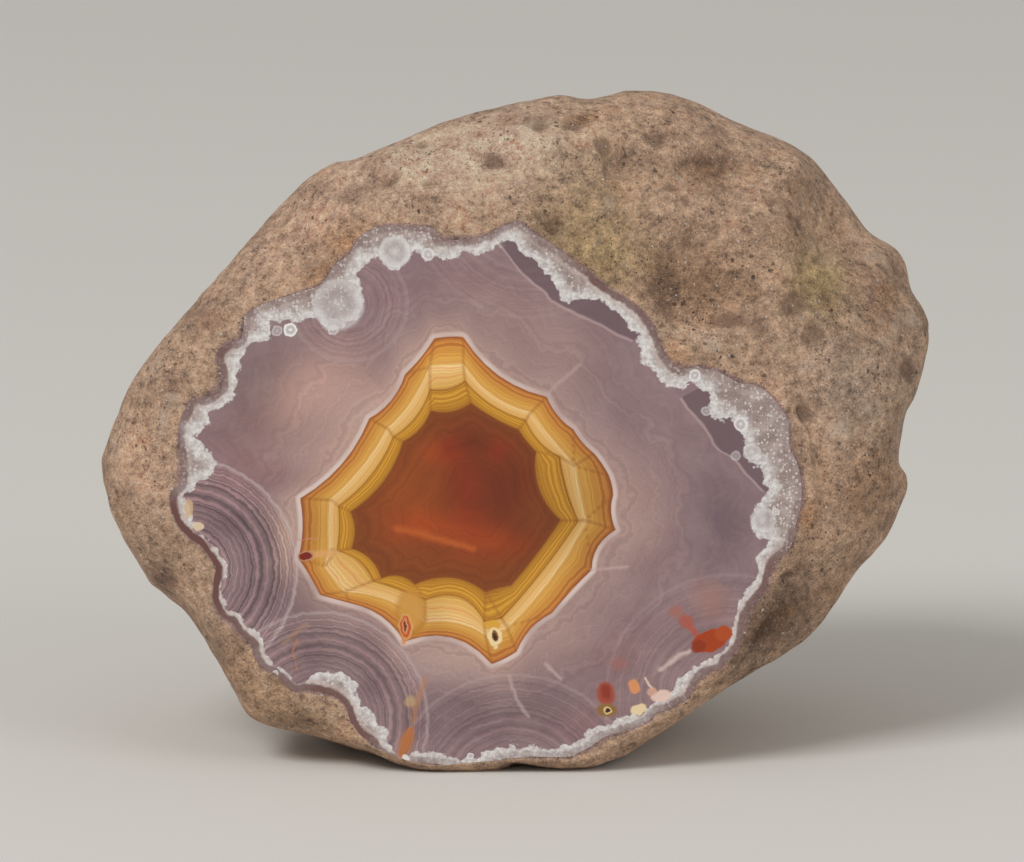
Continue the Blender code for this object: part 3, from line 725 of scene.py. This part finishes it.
# Beads of the crystal rim that stand out: across, up, radius in mm, strength
BEADS = [
    (-22.8, 20.4, 0.8, 1.0), (-24.4, 20.3, 0.6, 0.6), (-17.6, 20.4, 0.6, 0.7), (-17.0, 23.4, 3.0, 0.55),
    (-10.2, 29.8, 1.9, 0.7), (-6.2, 29.5, 0.7, 0.8), (25.8, 14.9, 0.7, 0.9), (31.3, 9.1, 0.85, 0.9),
    (27.1, 10.7, 0.6, 0.6), (30.7, 5.3, 0.6, 0.5), (32.6, 5.8, 1.0, 0.6), (34.0, -2.4, 1.5, 0.6),
    (35.5, -1.4, 0.4, 0.9), (-24.6, -20.8, 0.4, 0.8), (-1.2, -30.7, 0.4, 0.9), (1.0, -30.4, 0.35, 0.8),
]

# Round lobes whose layers show as rings: across and up of the middle, radius in mm, strength
LOBES = [
    (-35.2, -8.4, 13.2, 1.0), (-19.2, -26.4, 12.9, 0.7), (-15.7, 23.6, 7.0, 0.35), (4.0, -36.0, 15.0, 0.4),
    (30.0, -24.0, 15.0, 0.25), (6.0, 36.0, 14.0, 0.2),
]

# Bands of the amber and cream: place between the fronts, colour
BANDS = [
    (0.98, "84471a"), (1.06, "a56c20"), (1.2, "b98024"), (1.6, "ca922f"), (1.9, "c68e2c"), (1.96, "a46a22"),
    (2.03, "bd8738"), (2.12, "d8a656"), (2.45, "e2b067"), (2.75, "e7b771"), (2.93, "ecc284"), (3.0, "f0cb93"),
    (3.05, "deac60"), (3.2, "d8a04b"), (3.5, "cf923f"), (3.8, "c27f39"), (3.93, "b26c33"), (4.0, "a6633a"),
]

polish, net, shader = material("polished chalcedony")
place = net.face_place()
shake = net.arrow("SUBTRACT", net.clouds(place, 0.9, 3.0, 0.6, 1), (0.5, 0.5, 0.5))
shaken = net.arrow("ADD", place, net.scaled(shake, 0.7))
wave = net.sum("SUBTRACT", net.clouds(place, 0.35, 3.0, 0.6), 0.5)
grain = net.sum("SUBTRACT", net.clouds(place, 6.0, 2.0, 0.6), 0.5)
zone_place = net.stored("zone")

# Red core and amber bands
soft_zone = net.sum("MULTIPLY_ADD", grain, 0.10, zone_place)
bands = net.ramp(net.sum("MULTIPLY", soft_zone, 0.25), [(at / 4, code) for at, code in BANDS])
lines = net.layers(net.sum("MULTIPLY_ADD", wave, 0.25, zone_place), 9.0, 3.0, 0.7)
bands = net.mix(0.55, bands, net.ramp(lines, [(0.3, "8a6a58"), (0.5, "bcbcbc"), (0.7, "e6e6e6")]), "OVERLAY")
bands = net.mix(net.ease(net.stored("septum_mm"), 0.32, 0.05, 0.0, 0.45), bands, "9c5f22")
core_lines = net.ramp(lines, [(0.3, "909090"), (0.7, "d0d0d0")])
core = net.mix(0.35, net.stored("paint", "Color"), core_lines, "OVERLAY")
core = net.mix(net.ease(net.stored("septum_mm"), 0.3, 0.05, 0.0, 0.2), core, "6a3010")
amber = net.mix(net.ease(soft_zone, 1.06, 0.94), bands, core)
grey = net.add("CombineColor", dict.fromkeys((0, 1, 2), net.stored("shade")))
amber = net.mix(1.0, amber, grey, "MULTIPLY")

# Mauve chalcedony: soft stains, faint layers, the rings of the lobes, and a pale line along the amber
soft_stains = net.ease(net.clouds(place, 0.16, 4.0, 0.6), 0.35, 0.7, 0.0, 0.25)
mauve = net.mix(soft_stains, net.stored("paint", "Color"), "b29a97")
faint = net.layers(net.sum("MULTIPLY_ADD", wave, 0.3, zone_place), 22.0, 3.0, 0.6)
mauve = net.mix(0.22, mauve, net.ramp(faint, [(0.3, "8c8890"), (0.7, "dcd6d4")]), "OVERLAY")
for across, up, radius_mm, strength in LOBES:
    away = net.arrow("DISTANCE", shaken, (across, up, 0), output=1)
    rings = net.layers(away, 1.6, 3.0, 0.75)
    rings = net.ramp(rings, [(0.34, "6f6a74"), (0.5, "bcbcbc"), (0.62, "f4eeee")])
    inside = net.ease(away, radius_mm + 0.15, radius_mm - 0.15, 0.0, strength * 0.6)
    mauve = net.mix(inside, mauve, rings, "OVERLAY")
    rim_line = net.sum("ABSOLUTE", net.sum("SUBTRACT", away, radius_mm))
    mauve = net.mix(net.ease(rim_line, 0.35, 0.05, 0.0, strength * 0.5), mauve, "c4b2b2")
amber_place = net.stored("amber_mm")
pale_share = net.ease(net.clouds(place, 0.12), 0.3, 0.6, 0.3, 0.9)
pale_line = net.sum("MULTIPLY", net.ease(amber_place, -0.75, -0.3), pale_share)
mauve = net.mix(pale_line, mauve, "ddc9c1")
crack_place = net.sum("MULTIPLY_ADD", wave, 0.5, net.stored("crack_mm"))
beyond_crack = net.ease(crack_place, -0.05, 0.15, 0.0, 0.75)
beyond_crack = net.sum("MULTIPLY", beyond_crack, net.ease(crack_place, 6.0, 3.0))
mauve = net.mix(beyond_crack, mauve, "67535a")
crack_line = net.sum("ABSOLUTE", net.sum("ADD", crack_place, 0.2))
mauve = net.mix(net.ease(crack_line, 0.25, 0.05, 0.0, 0.6), mauve, "b39c9a")


def laid(kind, values):
    """A placed spot, stroke or bead, as a mask."""
    return net.add("Group", values, "Mask", node_tree=kind.tree)


# White crystal rim: beads at its inner edge, druzy crystal further out, and a thin red-brown skin
lumpy = net.grains(net.arrow("ADD", place, net.scaled(shake, 0.5)), 0.75, feature="SMOOTH_F1")
fine_lumps = net.grains(shaken, 1.9)
rim_place = net.sum("MULTIPLY_ADD", lumpy, 1.1, net.sum("SUBTRACT", net.stored("rim_mm"), 0.45))
rim_place = net.sum("MULTIPLY_ADD", fine_lumps, 0.5, net.sum("SUBTRACT", rim_place, 0.2))
druzy = net.mix(net.ease(net.clouds(place, 0.5, 4.0, 0.7), 0.35, 0.7), "8f7c78", "b3a39d")
cell = net.grains(shaken, 2.6)
chance = net.chance(shaken, 2.6)
ringlets = net.sum("MULTIPLY", net.sum("MULTIPLY", net.ease(cell, 0.5, 0.34), net.ease(cell, 0.08, 0.24)),
                   net.ease(chance, 0.45, 0.6))
tiny = net.grains(shaken, 5.5)
ringlets = net.sum("MAXIMUM", ringlets, net.ease(tiny, 0.30, 0.15, 0.0, 0.7))
druzy = net.mix(net.sum("MULTIPLY", ringlets, 0.8), druzy, "ded8d3")
white = net.mix(net.ease(net.clouds(place, 1.4, 4.0, 0.75), 0.35, 0.65), "b9b0ae", "e4e0dd")
depth_share = net.ease(net.sum("MULTIPLY_ADD", wave, 1.6, rim_place), -1.9, -0.5)
crystal = net.mix(depth_share, druzy, white)
skin_place = net.sum("MULTIPLY_ADD", wave, 0.9, net.stored("rind_mm"))
skin_share = net.stored("skin")
skin_line = net.ease(net.sum("ABSOLUTE", net.sum("SUBTRACT", skin_place, 1.05)), 0.3, 0.1)
pale_skin = net.sum("MULTIPLY", skin_line, net.sum("MULTIPLY", skin_share, 0.6))
crystal = net.mix(pale_skin, crystal, "c6b3aa")
skin_mask = net.sum("MULTIPLY", net.ease(skin_place, 0.95, 0.6), skin_share)
crystal = net.mix(skin_mask, crystal, "6b4641")
rim_mask = net.ease(rim_place, 0.12, -0.12)
bead_mask, bead_light = 0.0, 0.0
for across, up, radius_mm, strength in BEADS:
    mask = laid(bead_net, {"Place": shaken, "Middle": (across, up, 0), "Radius": radius_mm})
    light = mask.node.outputs["Light"]
    bead_mask = net.sum("MAXIMUM", bead_mask, net.sum("MULTIPLY", mask, strength))
    bead_light = net.sum("MAXIMUM", bead_light, net.sum("MULTIPLY", light, strength))
colour = net.mix(net.sum("MAXIMUM", rim_mask, skin_mask), mauve, crystal)
colour = net.mix(bead_mask, colour, net.mix(bead_light, "aca09e", "f0eeec"))
colour = net.mix(net.ease(amber_place, -0.06, 0.06), colour, amber)
for line, half, soft, code, strength in STROKES:
    mask = 0.0
    for start, end in zip(line[:-1], line[1:]):
        part = laid(stroke_net, {"Place": shaken, "Start": (*start, 0), "End": (*end, 0), "Half Width": half,
                                 "Edge": soft})
        mask = net.sum("MAXIMUM", mask, part)
    colour = net.mix(net.sum("MULTIPLY", mask, strength), colour, code)
for across, up, long, wide_mm, turn, soft, code, strength in SPOTS:
    mask = laid(spot_net, {"Place": shaken, "Middle": (across, up, 0), "Half Size": (long, wide_mm, 1),
                           "Turn": math.radians(turn), "Edge": soft})
    colour = net.mix(net.sum("MULTIPLY", mask, strength), colour, code)
fine_grain = net.ramp(net.clouds(place, 9.0, 2.0), [(0.3, "808080"), (0.7, "f0f0f0")])
groove = net.ease(net.sum("ABSOLUTE", crack_place), 0.12, 0.02)
height = net.sum("MULTIPLY_ADD", groove, -0.5, grain)
net.fill(shader, {
    "Base Color": net.mix(0.12, colour, fine_grain, "OVERLAY"),
    "Roughness": net.sum("MULTIPLY_ADD", rim_mask, 0.10, net.ease(wave, -0.2, 0.2, 0.08, 0.13)),
    "IOR": 1.54,
    "Normal": net.add("Bump", {"Height": height, "Strength": 0.04, "Distance": 0.0002}),
})
nodule.data.materials.append(polish)

# The rind: the rough outside of the nodule, a cast of the lava's hole in chalcedony and clay. It is tan,
# weathered and pitted, with dark mineral specks, glassy crystal points and olive and rust-brown stains. Its
# colour also holds painted light and shade: lighter along the top, darker on the right and lower right,
# painted shadow in a hollow and under a hollow's edge, painted shade in the fine pits, a painted highlight on
# the raised crust, and painted glints on the crystal points.
RIND_HUES = {
    "tan": "bb9d85", "light tan": "d3bba6", "pink tan": "c4a28d", "grey tan": "a69485", "olive": "9d8660",
    "yellow olive": "a8935c", "brown": "8d6d53", "dark brown": "5f4737", "rust": "b07c4c", "umber": "75584a",
}

# Stains of the slope round the face, with ovals of painted light and shade among them: across, up, half
# length, half width in mm, turn, hue, strength
RIND_STAINS_AND_SHADING = [
    # The two light tan ovals along the top are painted light: the top of the rind made lighter, as lit from
    # above.
    (-3.0, 41.0, 13.0, 5.0, 5, "light tan", 0.8), (5.0, 43.5, 8.0, 3.5, 0, "light tan", 0.6),
    (-22.0, 33.0, 9.0, 5.0, 40, "pink tan", 0.5), (13.0, 33.0, 6.0, 9.0, -10, "olive", 0.6),
    (16.0, 29.0, 5.0, 4.0, 0, "yellow olive", 0.35), (9.5, 31.0, 2.6, 3.4, 0, "olive", 0.4),
    # The brown, dark brown and umber ovals at (26.4, 25.4), (27.8, 39.6), (17.3, 41.0), (-14.8, 37.2), (-38.0,
    # -9.6), (1.2, 41.0), (3.6, -32.6) and (45.0, 30.0) make the rind darker inside hollows of its shape.
    (21.0, 41.0, 7.0, 5.0, 0, "tan", 0.6), (26.4, 25.4, 6.2, 4.8, -20, "brown", 0.75),
    # Painted shadow: the dark brown oval at (21.8, 26.4) on the left wall of the large hollow, and the thin
    # dark brown one at (27.8, 40.8) under the upper edge of the hollow above it.
    (21.8, 26.4, 1.8, 4.4, 10, "dark brown", 0.6), (27.8, 39.6, 4.4, 2.2, 0, "brown", 0.7),
    (27.8, 40.8, 4.2, 0.7, 0, "dark brown", 0.6), (17.3, 41.0, 2.0, 1.5, 0, "dark brown", 0.5),
    (26.0, 19.6, 5.0, 1.6, 0, "light tan", 0.4), (41.0, 26.0, 3.4, 4.2, 20, "yellow olive", 0.75),
    # Painted shade: the grey tan oval at (46.0, 14.0) darkens the right side, and the dark brown ovals at
    # (36.0, -13.5) and (32.0, -17.5) darken the lower right, which faces away from the light; there the
    # painted shade lies over some brown of the rind's own.
    (46.0, 14.0, 6.0, 9.0, 0, "grey tan", 0.7), (48.0, 22.0, 4.0, 6.0, 0, "brown", 0.45),
    (46.0, 2.0, 6.0, 6.0, 0, "brown", 0.35), (36.0, -13.5, 6.0, 4.5, 40, "dark brown", 0.75),
    (32.0, -17.5, 5.0, 2.5, 40, "dark brown", 0.6), (36.5, 10.5, 4.0, 4.0, 0, "pink tan", 0.4),
    (-16.2, 31.0, 2.4, 1.8, 0, "rust", 0.55), (-19.4, 27.0, 2.6, 1.6, 30, "rust", 0.4),
    (23.0, 17.4, 2.2, 1.6, 0, "rust", 0.5), (39.3, -2.0, 1.1, 1.9, 0, "rust", 0.6),
    (-32.8, 21.6, 2.4, 2.0, 30, "umber", 0.7), (-36.8, 14.0, 1.6, 2.0, 0, "umber", 0.6),
    (-14.8, 37.2, 2.4, 0.8, 15, "umber", 0.6), (-38.0, -9.6, 2.0, 1.4, -35, "umber", 0.9),
    (12.4, 46.0, 2.4, 0.9, 10, "rust", 0.5), (1.2, 41.0, 1.4, 1.1, 0, "brown", 0.5),
    (4.9, 43.2, 2.0, 0.8, 0, "light tan", 0.7), (-40.0, 3.0, 4.0, 6.0, 20, "pink tan", 0.4),
    (-30.0, -20.0, 4.0, 3.0, -50, "brown", 0.45), (-22.0, -25.4, 6.0, 2.0, -20, "olive", 0.3),
    (3.6, -32.6, 1.6, 0.8, 0, "dark brown", 0.8), (45.0, 30.0, 1.2, 8.0, 25, "umber", 0.35),
]

beyond = np.clip((rows - 1) / 0.25, 0, 1)[..., None]
rind_base = np.broadcast_to(paint(RIND_HUES["tan"]), rind.shape)
rind_paint = stained_and_shaded(rind, rind_base, RIND_STAINS_AND_SHADING, RIND_HUES) * (1 - beyond) + rind_base * beyond
outer_ring = FACE_ROWS[:, None, None] > 6.01
ring_paint = stained_and_shaded(face, np.broadcast_to(paint(RIND_HUES["tan"]), face.shape), RIND_STAINS_AND_SHADING, RIND_HUES)
face_paint = np.where(outer_ring, ring_paint, face_paint)
colours = np.concatenate([core_paint[:1, 0], face_paint.reshape(-1, 3),
                          rind_paint.reshape(-1, 3), rind_base[:1, 0]])
keep("paint", "FLOAT_COLOR", np.concatenate([colours, np.ones((len(colours), 1))], axis=1))

rough_rind, net, shader = material("weathered rind")
place = net.face_place()
shake = net.arrow("SUBTRACT", net.clouds(place, 1.2, 3.0, 0.6, 1), (0.5, 0.5, 0.5))
shaken = net.arrow("ADD", place, net.scaled(shake, 0.9))
broad = net.clouds(place, 0.2, 4.0, 0.6)
mottle = net.clouds(place, 0.9, 5.0, 0.72)
fine_mottle = net.clouds(place, 3.4, 3.0, 0.7)
colour = net.mix(0.55, net.stored("paint", "Color"),
                 net.ramp(broad, [(0.3, "8a8078"), (0.5, "bcbcbc"), (0.7, "e4ddd6")]), "OVERLAY")
colour = net.mix(net.ease(net.clouds(shaken, 0.11, 4.0, 0.6), 0.56, 0.72, 0.0, 0.4), colour, "9a7550")
tones = net.ramp(mottle, [(0.32, "5e554e"), (0.46, "b0aca8"), (0.58, "cccac8"), (0.7, "f4f0ec")])
colour = net.mix(0.8, colour, tones, "OVERLAY")
tones = net.ramp(fine_mottle, [(0.3, "6a6460"), (0.5, "bcbcbc"), (0.7, "f0ece8")])
colour = net.mix(0.5, colour, tones, "OVERLAY")
relief_mm = net.stored("relief")
# Painted shade in the pits and fine hollows of the relief, and a painted highlight on its raised lumps.
colour = net.mix(net.ease(relief_mm, -0.08, -0.4, 0.0, 0.65), colour, "6d5241")
colour = net.mix(net.ease(relief_mm, 0.08, 0.25, 0.0, 0.3), colour, "dcc8b4")
speck_places = net.ease(net.clouds(place, 0.16, 2.0), 0.4, 0.65, 0.25, 1.0)
specks = 0.0
for scale, reach_share, likely in ((0.85, 0.26, 0.66), (1.9, 0.28, 0.62), (4.2, 0.30, 0.66)):
    cell = net.grains(shaken, scale)
    chance = net.ease(net.chance(shaken, scale), likely, likely + 0.12)
    speck = net.sum("MULTIPLY", net.ease(cell, reach_share, reach_share * 0.5), chance)
    specks = net.sum("MAXIMUM", specks, speck)
specks = net.sum("MULTIPLY", specks, speck_places)
colour = net.mix(net.sum("MULTIPLY", specks, 0.85), colour, "3a2d25")
# Glassy crystal points: pale grains whose colour is lightened further as painted glints, with less roughness
# and a small raised bump.
cell = net.grains(shaken, 1.5)
chance = net.chance(shaken, 1.5, 1)
crystal_points_and_glints = net.sum("MULTIPLY", net.ease(cell, 0.26, 0.14), net.ease(chance, 0.7, 0.85))
cell = net.grains(place, 4.6)
chance = net.chance(place, 4.6, 1)
crystal_points_and_glints = net.sum("MAXIMUM", crystal_points_and_glints,
                          net.sum("MULTIPLY", net.ease(cell, 0.34, 0.2), net.ease(chance, 0.72, 0.85)))
colour = net.mix(net.sum("MULTIPLY", crystal_points_and_glints, 0.6), colour, "eadfd2")
dullness = net.sum("SUBTRACT", mottle, net.sum("MULTIPLY", crystal_points_and_glints, 0.4))
height = net.sum("MULTIPLY_ADD", fine_mottle, 0.35, mottle)
height = net.sum("MULTIPLY_ADD", specks, -0.35, height)
height = net.sum("MULTIPLY_ADD", crystal_points_and_glints, 0.15, height)
net.fill(shader, {
    "Base Color": colour,
    "Roughness": net.ease(dullness, 0.2, 0.7, 0.55, 0.95),
    "Normal": net.add("Bump", {"Height": height, "Strength": 0.9, "Distance": 0.0007}),
})
nodule.data.materials.append(rough_rind)

# The studio: a plain pale floor, a large soft light from the upper left, a weaker one from the right and
# an even pale surround. The camera looks square on to the polished face, a little down.
IMAGE_SIZE = (1024, 862)
MM_PER_PIXEL = 0.12
FACE_MIDDLE_PIXEL = (480, 500)
FLOOR_SIZE = 6.0
# Each soft light: place, width and height in metres, power in watts
LIGHTS = [
    ((-1.1, -1.3, 1.7), 1.1, 0.9, 30.0),
    ((1.4, -1.2, 0.9), 1.2, 1.2, 7.0),
]

floor_mesh = bpy.data.meshes.new("floor")
half = FLOOR_SIZE / 2
corners = [(-half, -half, 0), (half, -half, 0), (half, half, 0), (-half, half, 0)]
floor_mesh.from_pydata(corners, [], [(0, 1, 2, 3)])
floor = bpy.data.objects.new("floor", floor_mesh)
bpy.context.scene.collection.objects.link(floor)
floor_material, net, shader = material("pale floor")
net.fill(shader, {"Base Color": (*paint("dcd9d4"), 1), "Roughness": 0.9})
floor_mesh.materials.append(floor_material)

across_view = Vector((1, 0, 0))
up_view = Vector((0, math.sin(FACE_LEAN), math.cos(FACE_LEAN)))
towards_camera = across_view.cross(up_view)
off_middle = [(IMAGE_SIZE[i] / 2 - FACE_MIDDLE_PIXEL[i]) * MM_PER_PIXEL * MM for i in (0, 1)]
target = FACE_MIDDLE * MM + across_view * off_middle[0] - up_view * off_middle[1]
camera_data = bpy.data.cameras.new("camera")
camera_data.sensor_width = 36
camera_data.lens = 36 * VIEW_DISTANCE / (IMAGE_SIZE[0] * MM_PER_PIXEL)
camera_data.clip_end = 20
camera = bpy.data.objects.new("camera", camera_data)
camera.matrix_world = Matrix.Translation(target + towards_camera * VIEW_DISTANCE * MM) @ Matrix(
    (across_view, up_view, towards_camera)).transposed().to_4x4()
bpy.context.scene.collection.objects.link(camera)
bpy.context.scene.camera = camera

for place_of_light, wide_light, high_light, watts in LIGHTS:
    light = bpy.data.lights.new("soft light", "AREA")
    light.shape, light.size, light.size_y, light.energy = "RECTANGLE", wide_light, high_light, watts
    lamp = bpy.data.objects.new("soft light", light)
    lamp.location = place_of_light
    lamp.rotation_euler = (FACE_MIDDLE * MM - lamp.location).to_track_quat("-Z", "Y").to_euler()
    bpy.context.scene.collection.objects.link(lamp)
world = bpy.data.worlds.new("studio")
bpy.context.scene.world = world
world.use_nodes = True
world.node_tree.nodes["Background"].inputs["Color"].default_value = (*paint("f4f2ee"), 1)
world.node_tree.nodes["Background"].inputs["Strength"].default_value = 0.45
bpy.context.scene.view_settings.view_transform = "Standard"
